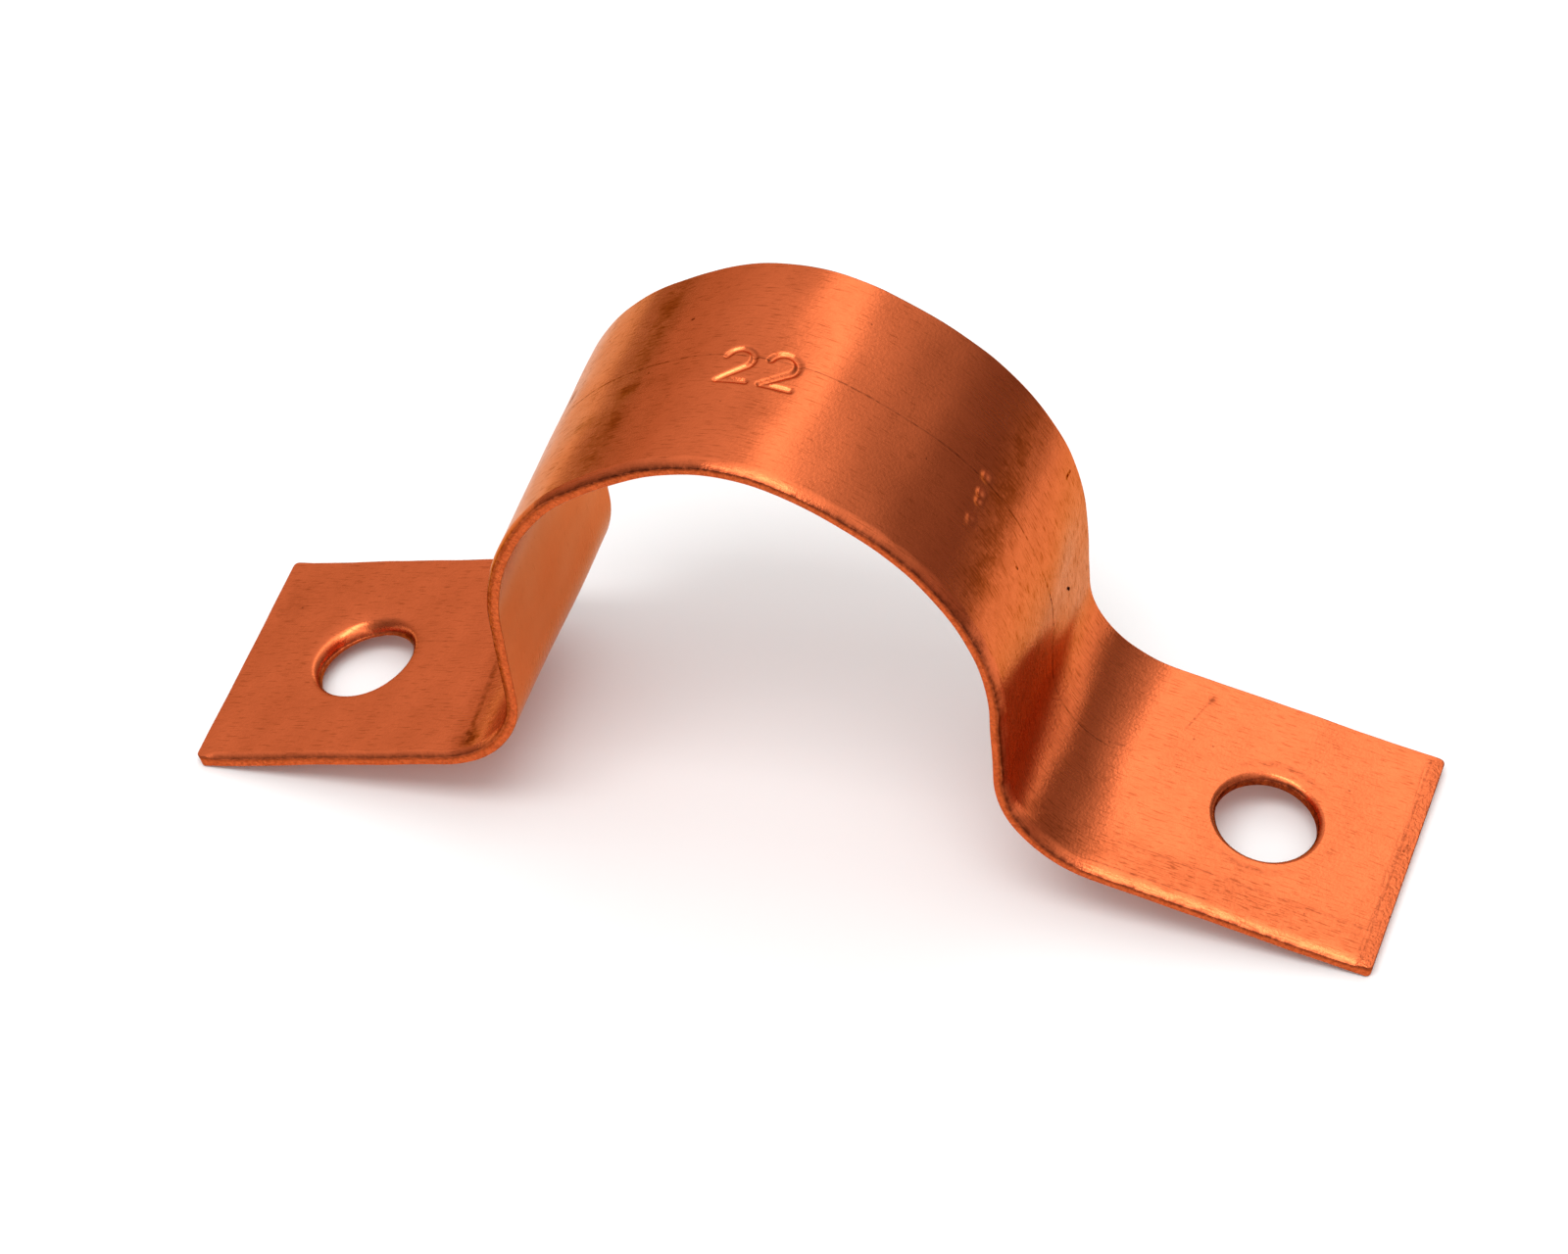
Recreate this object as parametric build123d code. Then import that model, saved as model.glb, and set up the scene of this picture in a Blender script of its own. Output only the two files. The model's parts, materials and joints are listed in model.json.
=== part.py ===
from build123d import *
import os
from math import asin, cos, degrees, radians, sin

# Pipe clip: one strip of copper sheet, cut to length, punched and folded over a tube,
# with a foot for a screw at each end.
# X runs from foot to foot, Y across the strip and Z up, in millimetres and degrees.
# The clip stands on the ends of its two feet, with the origin midway between them.

# Driving dimensions
strip_width = 12.7
strip_thickness = 0.65

# The tube under the arch, and the room that the arch leaves around it
tube_diameter = 22.2
tube_clearance = 0.05

# The arch holds the tube on its two shoulders, between these angles from the vertical
seat_start_angle = 36.0
seat_end_angle = 92.0

# Above the shoulders a nearly flat flank rises to a tighter crown, clear of the tube
flank_radius = 20.0
crown_radius = 8.0

# Below the shoulders a straight leg runs down to the fold, and a foot slopes away from it
leg_length = 3.9
fold_radius = 4.8
foot_droop = 14.25
foot_length = 12.75

# One screw hole in each foot: its middle from the foot's end, and from the strip's middle
hole_diameter = 4.5
hole_inset = 6.4
hole_shift = -0.15

# Cutting and punching roll over the edges of the outer face and leave the inner ones square
corner_radius = 0.25
edge_roll = 0.2
hole_roll = 0.28

# Derived sizes of the arch: where flank and crown meet smoothly, and the height of the crown
seat_radius = tube_diameter / 2 + tube_clearance
flank_start = radians(seat_start_angle)
crown_half = asin((flank_radius - seat_radius) * sin(flank_start) / (flank_radius - crown_radius))
crown_angle = degrees(crown_half)
flank_centre_height = (seat_radius - flank_radius) * cos(flank_start)
crown_centre_height = flank_centre_height + (flank_radius - crown_radius) * cos(crown_half)
crown_height = crown_centre_height + crown_radius


def face_line(depth):
    """Profile of half the strip, from crown to foot end, at a depth outwards from its inner face.

    The tube's axis is at the origin, and each line runs on smoothly from the one before.
    """
    crown = JernArc((0, crown_height + depth), (1, 0), crown_radius + depth, -crown_angle)
    flank = JernArc(crown @ 1, crown % 1, flank_radius + depth, crown_angle - seat_start_angle)
    shoulder = JernArc(flank @ 1, flank % 1, seat_radius + depth, seat_start_angle - seat_end_angle)
    leg = Line(shoulder @ 1, shoulder @ 1 + leg_length * (shoulder % 1))
    fold = JernArc(leg @ 1, leg % 1, fold_radius + strip_thickness - depth, seat_end_angle - foot_droop)
    foot = Line(fold @ 1, fold @ 1 + foot_length * (fold % 1))
    return [crown, flank, shoulder, leg, fold, foot]


def folded_strip(inner_line, outer_line):
    """The plain strip: half the profile pulled across the strip's width, and its mirror image."""
    crown_cut = Line(inner_line[0] @ 0, outer_line[0] @ 0)
    foot_cut = Line(inner_line[-1] @ 1, outer_line[-1] @ 1)
    half_profile = make_face(inner_line + outer_line + [crown_cut, foot_cut])
    half_strip = extrude(Plane.XZ * half_profile, strip_width / 2, both=True)
    return half_strip + mirror(half_strip, Plane.YZ)


def with_cut_edges(strip):
    """Round the foot corners, then roll the one smooth edge that runs around the outer face."""
    by_reach = strip.faces().sort_by(Axis.X)
    foot_ends = [by_reach[0], by_reach[-1]]
    corners = [edge for end in foot_ends for edge in end.edges().sort_by(SortBy.LENGTH)[:2]]
    strip = fillet(corners, corner_radius)
    foot_end = strip.faces().sort_by(Axis.X)[-1]
    outer_edge = foot_end.edges().sort_by(Axis.Z)[-1]
    return fillet(outer_edge, edge_roll)


def hole_punch(foot):
    """Cutter for the +X screw hole, square to the foot and flared at its outer end."""
    radius = hole_diameter / 2
    start = Line((0, -strip_thickness), (radius, -strip_thickness))
    wall = Line(start @ 1, (radius, strip_thickness - hole_roll))
    flare = JernArc(wall @ 1, wall % 1, hole_roll, -90)
    clear_wall = Line(flare @ 1, flare @ 1 + Vector(0, strip_thickness))
    finish = Line(clear_wall @ 1, (0, 2 * strip_thickness))
    axis_line = Line(finish @ 1, start @ 0)
    cutter = revolve(Plane.XZ * make_face([start, wall, flare, clear_wall, finish, axis_line]), Axis.Z)
    middle = Plane.XZ.from_local_coords(foot @ 1 - hole_inset * (foot % 1))
    heading = Plane.XZ.from_local_coords(foot % 1)
    foot_plane = Plane(middle + Vector(0, hole_shift, 0), heading, heading.rotate(Axis.Y, -90))
    return foot_plane * cutter


inner_line = face_line(0)
outer_line = face_line(strip_thickness)
punch = hole_punch(inner_line[-1])
clip = with_cut_edges(folded_strip(inner_line, outer_line)) - punch - mirror(punch, Plane.YZ)

tube_axis_height = -(inner_line[-1] @ 1).Y
clip = Pos(0, 0, tube_axis_height) * clip

os.makedirs("parts", exist_ok=True)
export_step(clip, "parts/strap.step")
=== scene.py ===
import json
import math

import bmesh
import bpy
import numpy as np
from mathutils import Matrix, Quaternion, Vector


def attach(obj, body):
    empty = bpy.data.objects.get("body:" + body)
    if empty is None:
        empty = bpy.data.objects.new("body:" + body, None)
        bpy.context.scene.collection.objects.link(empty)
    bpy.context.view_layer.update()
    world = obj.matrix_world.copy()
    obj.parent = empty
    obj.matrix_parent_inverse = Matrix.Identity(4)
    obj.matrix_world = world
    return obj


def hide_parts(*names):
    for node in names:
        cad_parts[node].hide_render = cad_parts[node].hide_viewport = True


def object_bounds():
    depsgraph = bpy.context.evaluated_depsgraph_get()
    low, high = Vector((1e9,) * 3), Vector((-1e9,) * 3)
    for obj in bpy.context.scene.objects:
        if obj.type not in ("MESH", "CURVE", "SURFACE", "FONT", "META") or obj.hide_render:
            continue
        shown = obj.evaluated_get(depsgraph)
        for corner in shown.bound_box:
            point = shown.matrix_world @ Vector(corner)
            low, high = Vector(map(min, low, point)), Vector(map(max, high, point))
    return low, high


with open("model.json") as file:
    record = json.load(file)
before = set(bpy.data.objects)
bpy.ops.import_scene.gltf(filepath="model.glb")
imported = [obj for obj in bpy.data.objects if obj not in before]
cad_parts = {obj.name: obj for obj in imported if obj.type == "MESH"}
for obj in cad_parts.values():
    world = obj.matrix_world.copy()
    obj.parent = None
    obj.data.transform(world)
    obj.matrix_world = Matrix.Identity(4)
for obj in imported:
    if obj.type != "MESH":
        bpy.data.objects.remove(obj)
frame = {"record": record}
cad_low, cad_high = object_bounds()

# Lengths are in millimetres, and become metres where a mesh, a lamp or the camera is placed.
# A point of the flat blank is (run, across, height): run along the strip from the crown,
# across it, and height from the middle of the sheet.
MM = 0.001

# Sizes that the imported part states
mounts = {mount["name"]: mount for mount in frame["record"]["mounts"]}
tube_seat = mounts["tube_seat"]
screw_hole = mounts["screw_hole_right"]
STRIP_WIDTH = tube_seat["dims"]["length_mm"]
SEAT_RADIUS = tube_seat["dims"]["r_mm"]
HOLE_RADIUS = screw_hole["dims"]["r_mm"]
HOLE_SHIFT = screw_hole["pos_m"][1] / MM
FOOT_DROOP = math.atan2(screw_hole["axis"][0], screw_hole["axis"][2])
CROWN_TOP = cad_high.z / MM

# Sizes of the folded strip
THICKNESS = 0.65
HALF_SHEET = THICKNESS / 2
SEAT_START = math.radians(36)
SEAT_END = math.radians(92)
FLANK_RADIUS = 20.0
CROWN_RADIUS = 8.0
LEG_LENGTH = 3.9
FOLD_RADIUS = 4.8
FOOT_LENGTH = 12.75
HOLE_INSET = 6.4
CORNER_RADIUS = 0.25

# Cut edges: how far in the shear rolled the outer face over, to what slope, and how soon it gets
# there. The -Y side has a broad roll, which fades between two runs of the -X half, and there the
# edges lose the extra painted shade that they hold on the +X half, where the cuts reflect shaded
# floor. The +Y side and the ends have narrow rolls. A side's roll eases to the end's between two
# distances from the end. The inner face keeps a fine burr line.
NEAR_ROLL = np.array([0.54, math.radians(33), 2.0])
FADED_ROLL = np.array([0.3, math.radians(40), 2.0])
FADED_RUNS = (-12.0, -3.0)
EXTRA_PAINTED_SHADE = 0.4
FAR_ROLL = np.array([0.1, math.radians(60), 1.0])
END_ROLL = np.array([0.05, math.radians(50), 1.0])
END_EASE = (CORNER_RADIUS, 4 * CORNER_RADIUS)
BURR_BREAK = 0.03

# What a cut edge holds: how far the foot of its roll and its burr belong to the cut, the grime and
# painted shade on the cut's first step and on the burr, and the powers by which both come on late
# along the roll. The painted shade gives a dark line where the roll turns into the cut, and dims
# the outer part of the roll's highlight.
ROLL_BELONGS = 0.15
ROLL_BELONGS_POWER = 4
BURR_BELONGS = 0.4
ROLL_GRIME_AND_SHADE_POWER = 6
CUT_GRIME_AND_SHADE = 0.6
BURR_GRIME_AND_SHADE = 0.4

# The two holes as punched: the roll of each, and what it is off the nominal radius, inset and shift
PUNCHED_ROLL = {
    -1: np.array([0.4, math.radians(68), 1.0]),
    1: np.array([0.3, math.radians(57), 1.4]),
}
PUNCHED_OFF = {-1: (0.03, -0.12, 0.06), 1: (0.06, 0.13, -0.05)}

# By what share each roll is broader towards the foot's end and towards +Y
PUNCH_LEAN = {-1: (0.1, 0.35), 1: (0.0, 0.0)}

# How soiled the wall of each hole is, with painted shade that darkens the wall and the late part of
# its roll
HOLE_SOIL_AND_SHADE = {-1: 0.6, 1: 0.8}

# The punch dished the sheet round the -X hole, off the hole's middle towards the foot's end and +Y
DIMPLE_DEPTH = 0.09
DIMPLE_REACH = 0.8
DIMPLE_OFF = (0.15, 0.35)

# The punch's stripper left a broken ring round the +X hole. It comes in between two distances
# across from the hole's middle.
RING_RADIUS = 3.05
RING_HALF_WIDTH = 0.3
RING_SIDES = (2.0, 3.0)
RING_STRENGTH = 0.35

# The strip's stretches from crown to foot end: crown, flank, shoulder, leg, fold and foot
CROWN_TURN = math.asin(
    (FLANK_RADIUS - SEAT_RADIUS) * math.sin(SEAT_START) / (FLANK_RADIUS - CROWN_RADIUS)
)
TURNS = np.array(
    [CROWN_TURN, SEAT_START - CROWN_TURN, SEAT_END - SEAT_START, 0.0, FOOT_DROOP - SEAT_END, 0.0]
)
LENGTHS = np.array(
    [
        (CROWN_RADIUS + HALF_SHEET) * TURNS[0],
        (FLANK_RADIUS + HALF_SHEET) * TURNS[1],
        (SEAT_RADIUS + HALF_SHEET) * TURNS[2],
        LEG_LENGTH,
        (FOLD_RADIUS + HALF_SHEET) * -TURNS[4],
        FOOT_LENGTH,
    ]
)
STARTS = np.cumsum(LENGTHS) - LENGTHS
SLOPES = np.cumsum(TURNS) - TURNS
CHORDS = LENGTHS * np.sinc(TURNS / 2 / np.pi)
STEPS_OUT = CHORDS * np.cos(SLOPES + TURNS / 2)
STEPS_DOWN = CHORDS * np.sin(SLOPES + TURNS / 2)
START_X = np.cumsum(STEPS_OUT) - STEPS_OUT
START_Z = CROWN_TOP - HALF_SHEET - np.cumsum(STEPS_DOWN) + STEPS_DOWN
FOOT_START = STARTS[-1]
FOOT_END = FOOT_START + FOOT_LENGTH

# The size number pressed into the crown: each digit's place, size, top arc, stroke and depth, and
# the power that makes the stroke's sides steep
DIGIT_RUNS = (-1.62, 0.3)
DIGIT_FOOT = -1.1
DIGIT_WIDTH = 1.25
DIGIT_HEIGHT = 1.95
DIGIT_ARC = np.radians(np.linspace(165, -38, 12))
STROKE_REACH = 0.14
STROKE_POWER = 3
STAMP_DEPTH = 0.12

# Small knocks in the outer face: run, across, radius and depth
KNOCKS = np.array(
    [
        (10.85, 0.62, 0.22, 0.12),
        (10.9, -0.35, 0.2, 0.11),
        (10.95, -0.8, 0.18, 0.1),
        (10.9, -1.9, 0.2, 0.07),
        (15.2, 5.4, 0.18, 0.02),
        (-11.7, 2.1, 0.35, 0.03),
        (-6.3, -0.75, 0.3, 0.015),
        (-9.3, -4.0, 0.25, 0.015),
        (31.6, 5.25, 0.14, 0.02),
    ]
)

# Brown stains and painted shade: run, across, reach along the run, reach across and strength.
# The painted shade is some of the rows: a spot in the -X fold, a dimmed strip on the crown's
# highlight, and dark bands across the arch where it reflects dark surroundings.
STAINS_AND_SHADE = np.array(
    [
        (-6.3, -0.75, 0.5, 0.38, 0.9),
        (-5.4, -0.55, 1.6, 0.3, 0.35),
        (-8.5, -2.0, 0.9, 0.4, 0.45),
        (-9.3, -4.0, 0.5, 0.3, 0.4),
        (-11.8, 2.1, 0.5, 0.35, 0.9),
        # Painted shade: a dark spot in the -X fold, where the fold reflects the leg
        (-28.2, -5.5, 0.6, 0.6, 0.9),
        (-41.0, 3.6, 0.8, 1.2, 0.3),
        (27.0, -5.2, 1.6, 0.6, 0.5),
        (35.0, -5.0, 8.5, 0.95, 0.45),
        (35.8, 0.0, 7.0, 7.0, 0.03),
        (18.5, 0.0, 6.5, 12.0, 0.2),
        # Painted shade: a dark band across the arch at this run, where the arch reflects dark
        # surroundings
        (-6.1, 4.8, 0.8, 1.7, 0.9),
        (-6.1, 1.8, 0.7, 1.6, 0.75),
        (-6.3, -2.7, 0.8, 1.3, 0.8),
        (-6.6, -4.8, 0.9, 1.2, 0.6),
        # Painted shade that dims the crown's highlight
        (0.8, 0.0, 1.2, 9.0, 0.25),
        (31.6, 5.3, 0.14, 0.2, 0.9),
        # Painted shade that widens the dark band reflected on the +X flank
        (10.5, 2.5, 1.6, 4.0, 0.25),
        (12.5, -3.6, 1.0, 3.2, 0.85),
        (12.0, 2.4, 0.9, 3.6, 0.8),
    ]
)

# One line drawn along the strip by the folding tools: its place across over the run, how far from
# it the mark starts and is full, and its strength
DRAWN_LINE = (
    (-11.5, 0.62),
    (-6.0, 0.52),
    (0.0, 0.42),
    (9.0, 0.38),
    (15.0, 0.4),
    (17.2, 0.55),
    (18.8, 0.88),
    (20.0, 0.95),
    (21.2, 0.6),
    (24.0, 0.46),
    (28.2, 0.54),
)
DRAWN_EDGE = (0.06, 0.015)
DRAWN_STRENGTH = 0.55

# Scratches, dark specks and dark lines of painted shade: two ends (run, across), the half width and
# the strength
SCRATCHES_AND_SHADE_LINES = (
    ((31.6, 5.2), (31.5, 5.0), 0.16, 0.5),
    ((31.5, 5.0), (30.9, 3.0), 0.07, 0.4),
    ((19.85, 3.05), (20.2, 3.35), 0.11, 2.5),
    ((14.4, -1.3), (14.5, -1.27), 0.09, 1.8),
    ((15.2, 5.1), (15.25, 5.6), 0.12, 0.9),
    ((16.8, 0.48), (18.8, 0.9), 0.07, 0.7),
    ((18.8, 0.9), (20.2, 0.96), 0.08, 0.9),
    ((21.2, 0.6), (23.8, 0.46), 0.07, 0.6),
    ((-4.3, 3.1), (-4.25, 3.12), 0.1, 0.7),
    ((27.9, 0.75), (28.6, 0.95), 0.1, 0.45),
    ((41.8, 0.55), (41.9, 0.95), 0.09, 0.6),
    ((-38.5, 0.98), (-31.5, 0.92), 0.12, 0.12),
    # Painted shade: a dark line and a spot in the -X fold, where the fold reflects the leg
    ((-28.3, -5.6), (-28.8, 1.0), 0.28, 0.4),
    ((-28.0, -5.6), (-28.3, -5.1), 0.55, 0.45),
    ((30.0, -4.25), (41.5, -4.35), 0.14, 0.25),
    ((29.4, -5.75), (34.5, -5.75), 0.08, 0.4),
    ((41.6, -5.9), (41.6, 6.1), 0.09, 0.35),
)

# The blank was parted off at the +X end with a dull shear: a fine crease, and a band drawn down,
# which looks a little like a cut, with a soft border
SHEAR_BAND = 0.6
SHEAR_DROP = 0.04
SHEAR_BELONGS = 0.4
SHEAR_BORDER = 0.05
CREASE_WIDTH = 0.06
CREASE_DEPTH = 0.03

# Bending made the sheet grainy: where that starts round the start of a fold, where it ends round
# the start of a foot, and how much of it the +X foot has
GRAIN_STARTS = np.array([-0.5, 0.7])
GRAIN_ENDS = np.array([-0.7, 1.2])
COARSE_FOOT = 0.5

# The sheet isn't quite flat, and its rolled edges and sheared band aren't quite even: the size of
# that, as a height or a share, its wavelength and its seed
SHEET_WAVE = 0.015
SHEET_WAVELENGTH = 4.5
SHEET_SEED = 3
ROLL_WAVE = 0.035
ROLL_WAVELENGTH = 1.1
ROLL_SEED = 9
SHEAR_WAVE = 0.06
SHEAR_WAVELENGTH = 1.6
SHEAR_SEED = 5
WAVE_COUNT = 14
WAVE_SPREAD = (0.6, 1.6)

# Spacing of the mesh: ordinary rows and columns, finer ones at the number and the knocks, and one
# column close to each rim. Then the distance of points that are welded, and the turn from which
# an edge between faces is sharp.
PLAIN_STEP = 0.26
WIDE_STEP = 0.32
FINE_STEP = 0.06
RIM_STEP = 0.03
STAMP_MARGIN = 0.3
KNOCKED_RUN = (10.4, 11.4)
KNOCKED_ACROSS = -2.3
ROLL_STEPS = 7
CUT_STEPS = 5
OUTER_RINGS = 32
INNER_RINGS = 14
CORNER_STEPS = 7
WELD_DISTANCE = 0.001
SHARP_TURN = math.radians(40)

# Patterns of the copper. Rolling lines are finer than the eye can part, so they are drawn wider
# to show. Then come the grain of the sheet, the tear of the cuts, mottled patches and dashes of
# oxide, the gaps in marks and what they leave, and pits, with their chance and their edge as
# shares of one and of their spacing. A range is where the noise brings a pattern in.
LINE_LENGTH = 7.0
LINE_WIDTH = 0.12
GRAIN_SIZE = 0.15
TEAR_SIZE = 0.18
TEAR_RANGE = (0.36, 0.64)
MOTTLE_SIZE = 1.0
MOTTLE_RANGE = (0.36, 0.7)
DASH_LENGTH = 0.7
DASH_WIDTH = 0.08
DASH_RANGE = (0.55, 0.72)
GAP_SIZE = 0.3
GAP_RANGE = (0.4, 0.6)
GAP_LEFT = 0.3
PIT_SPACING = 0.9
PIT_EDGE = (0.08, 0.04)
PIT_CHANCE = 0.12
PIT_STRENGTH = 0.5

# Oxide and painted shade: the mottling's part of it on clean sheet, its part in stains and painted
# shade and the base of that, how much these and bending add to the dashes, the dashes' part, and
# what the inner face has of it
CLEAN_MOTTLE = 0.2
STAIN_AND_SHADE_MOTTLE = 0.7
STAIN_AND_SHADE_BASE = -0.22
STAINED_AND_SHADED_DASHES = 0.1
WORKED_DASHES = 0.03
DASH_OXIDE = 0.55
INNER_OXIDE = 0.3

# Grime and painted shade: its even part and its patchy part
GRIME_AND_SHADE_BASE = 0.35
GRIME_AND_SHADE_PATCHES = 0.3

# Colours of copper: clean, with oxide, which also colours some painted shade, torn in the cuts,
# dark with dirt and painted shade in the marks, and seen flat along, where oxide counts for less
CLEAN_COPPER = "#DC6B3F"
OXIDE_AND_SHADE = "#A04825"
TORN_LOW = "#BE522A"
TORN_HIGH = "#DC6636"
DIRT_AND_SHADE = "#4A1C10"
PALE_COPPER = "#F0DDBE"
PALED_OXIDE_AND_SHADE = 0.4

# Roughness over the rolling lines, what oxide and painted shade, bending and cutting add to it,
# and the smear of highlights across the lines
SATIN = (0.2, 0.29)
OXIDE_AND_SHADE_ROUGHNESS = 0.12
FOLD_ROUGHNESS = 0.02
CUT_ROUGHNESS = 0.12
SMEAR = 0.5

# Depths of the fine relief, in micrometres: rolling lines, grain, its increase by bending, the
# tear of the cuts, and marks
MICROMETRE = 0.001 * MM
LINE_DEPTH = 2.0
GRAIN_DEPTH = 8.0
FOLD_GRAIN_DEPTH = 8.0
TEAR_DEPTH = 120.0
MARK_DEPTH = 8.0

# Floor, with a painted pool of light: white round a point beside the clip, and painted shade that
# turns it grey beyond. Then the room: its strength, how far that differs from side to side, and its
# colours by the height of the direction
FLOOR_REACH = 1500
FLOOR_DROP = 0.02
PAINTED_POOL_MIDDLE = (-45.0, 5.0, 0.0)
PAPER_WHITE = "#E9E8E8"
PAINTED_POOL_REACH = 85
PAINTED_FLOOR_SHADE = "#968D89"
PAINTED_SHADE_REACH = 170
ROOM_STRENGTH = 1.1
ROOM_SLANT = 0.95
ROOM_COLOURS = (
    (0.0, "#8F7E79"),
    (0.2, "#B6A8A3"),
    (0.36, "#B5ADA9"),
    (0.46, "#BFBAB7"),
    (0.65, "#D8D6D5"),
    (0.8, "#EEEEEE"),
)

# Long soft lights over the clip, along Y: the turn of each from overhead towards +X, its half width
# and its strength. The second is the first one's glow on the ceiling.
STRIP_LIGHTS = (
    (math.radians(10), math.radians(15), 1.44),
    (math.radians(40), math.radians(12), 0.2),
)
STRIP_LIGHT_COLOUR = "#F4FFFF"

# A soft box in front of the clip and above it: heading, distance, width and depth, brightness
BOX_HEADING = (0.03, -0.36, 0.93)
BOX_DISTANCE = 700
BOX_SIZE = (560, 220)
BOX_BRIGHTNESS = 6.0

# The camera: angles round and above, tilt, distance to the point looked at, lens, and the nearest
# distance that it sees
VIEW_AZIMUTH = math.radians(23.75)
VIEW_ELEVATION = math.radians(45.5)
VIEW_ROLL = math.radians(-7.708)
VIEW_AIM = (0.2565, -1.8862, 11.0993)
VIEW_DISTANCE = 307.39
LENS = 161.305
SENSOR_WIDTH = 36.0
NEAREST_SEEN = 10


def centre_line(run):
    """Place and slope of the middle of the sheet at each run.

    Every stretch is an arc or a straight line. Along an arc the chord is the distance times
    sinc of half the turn, and it points along the mean slope, which holds for a straight too.
    The strip's left half is the mirror image of the right one.
    """
    side = np.where(run < 0, -1.0, 1.0)
    distance = np.abs(run)
    stretch = np.clip(np.searchsorted(STARTS, distance, side="right") - 1, 0, len(STARTS) - 1)
    along = distance - STARTS[stretch]
    half_turn = along * TURNS[stretch] / LENGTHS[stretch] / 2
    chord = along * np.sinc(half_turn / np.pi)
    mean_slope = SLOPES[stretch] + half_turn
    x = START_X[stretch] + chord * np.cos(mean_slope)
    z = START_Z[stretch] - chord * np.sin(mean_slope)
    return side, x, z, mean_slope + half_turn


def fold(run, across, height):
    """Points of the folded clip: the middle of the sheet plus height along its normal."""
    side, x, z, slope = centre_line(run)
    return np.stack([side * (x + height * np.sin(slope)), across, z + height * np.cos(slope)], -1)


def uneven(run, across, wavelength, seed):
    """Smooth irregular numbers about zero: a sum of sine waves of random heading and phase."""
    draw = np.random.default_rng(seed)
    heading = draw.uniform(0, 2 * np.pi, WAVE_COUNT)
    wave_number = 2 * np.pi / (wavelength * draw.uniform(*WAVE_SPREAD, WAVE_COUNT))
    phase = draw.uniform(0, 2 * np.pi, WAVE_COUNT)
    along = run[..., None] * np.cos(heading) + across[..., None] * np.sin(heading)
    return np.sin(along * wave_number + phase).sum(-1) / math.sqrt(WAVE_COUNT / 2)


def smooth_step(low, high, value):
    """Rises from 0 at low to 1 at high, as three times the square less twice the cube."""
    part = np.clip((value - low) / (high - low), 0, 1)
    return part * part * (3 - 2 * part)


def digit_strokes():
    """Corner points of a figure two: an arc over the top, a slant to the foot and a base."""
    radius = DIGIT_WIDTH / 2
    arc_run = radius + radius * np.cos(DIGIT_ARC)
    arc_across = DIGIT_HEIGHT - radius + radius * np.sin(DIGIT_ARC)
    arc = np.stack([arc_run, arc_across], -1)
    return np.concatenate([arc, [[0, 0], [DIGIT_WIDTH, 0]]])


def stamp(run, across):
    """Depth of the pressed number: a steep-sided bell of the distance to the nearest stroke.

    The distance to a stroke is the least distance to the straight pieces of its line.
    """
    corners = digit_strokes()
    start = corners[:-1]
    piece = np.diff(corners, axis=0)
    length_squared = (piece**2).sum(-1)
    depth = np.zeros(run.shape)
    for digit_run in DIGIT_RUNS:
        place = np.stack([run - digit_run, across - DIGIT_FOOT], -1)[..., None, :] - start
        part = np.clip((place * piece).sum(-1) / length_squared, 0, 1)
        distance = np.linalg.norm(place - part[..., None] * piece, axis=-1).min(-1)
        bell = np.exp(-((distance / STROKE_REACH) ** STROKE_POWER))
        depth = np.maximum(depth, STAMP_DEPTH * bell)
    return depth


def knocks(run, across):
    """Depth of the small knocks: each a bell of its own radius and depth."""
    away = (run[..., None] - KNOCKS[:, 0]) ** 2 + (across[..., None] - KNOCKS[:, 1]) ** 2
    return (KNOCKS[:, 3] * np.exp(-away / KNOCKS[:, 2] ** 2)).sum(-1)


def shear_reach(across):
    """How far the sheared band reaches in from the +X end, which is a little uneven."""
    waves = uneven(across, across, SHEAR_WAVELENGTH, SHEAR_SEED)
    return SHEAR_BAND * (1 + SHEAR_WAVE * waves)


def shear_band(run, across):
    """Depth of the sheared +X end: a straight fall to the edge, and a bell-shaped crease."""
    reach = shear_reach(across)
    part = (FOOT_END - run) / reach
    crease = np.exp(-(((FOOT_END - run - reach) / CREASE_WIDTH) ** 2))
    return SHEAR_DROP * np.clip(1 - part, 0, 1) + CREASE_DEPTH * crease


def dimple(run, across):
    """Depth of the dimple round the -X hole: the square of the way in from its border."""
    out, aside = hole_centre(-1) + DIMPLE_OFF
    border = HOLE_RADIUS + PUNCHED_OFF[-1][0] + DIMPLE_REACH
    way_in = (border - np.hypot(run + out, across - aside)) / DIMPLE_REACH
    return DIMPLE_DEPTH * np.maximum(way_in, 0) ** 2


def worn(run, across, height):
    """Height with the sheet's waves and dimple, and the outer face's marks faded in with height."""
    outer = height / THICKNESS + 0.5
    marks = stamp(run, across) + knocks(run, across) + shear_band(run, across)
    waves = SHEET_WAVE * uneven(run, across, SHEET_WAVELENGTH, SHEET_SEED)
    return height + waves - dimple(run, across) - outer * marks


def stains_and_shade(run, across):
    """Strength of the brown stains and the painted shade among them: the sum of soft ovals, each a
    bell along and across.
    """
    along = (run[..., None] - STAINS_AND_SHADE[:, 0]) / STAINS_AND_SHADE[:, 2]
    aside = (across[..., None] - STAINS_AND_SHADE[:, 1]) / STAINS_AND_SHADE[:, 3]
    return (STAINS_AND_SHADE[:, 4] * np.exp(-(along**2) - aside**2)).sum(-1)


def bent(run):
    """How grainy bending made the sheet: 1 in the folds above the feet, and 0 a little beyond them.

    The +X foot keeps some of the grain.
    """
    stops = [*(STARTS[-2] + GRAIN_STARTS), *(FOOT_START + GRAIN_ENDS)]
    in_folds = np.interp(np.abs(run), stops, [0, 1, 1, 0])
    return np.maximum(in_folds, COARSE_FOOT * (run > FOOT_START))


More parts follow.
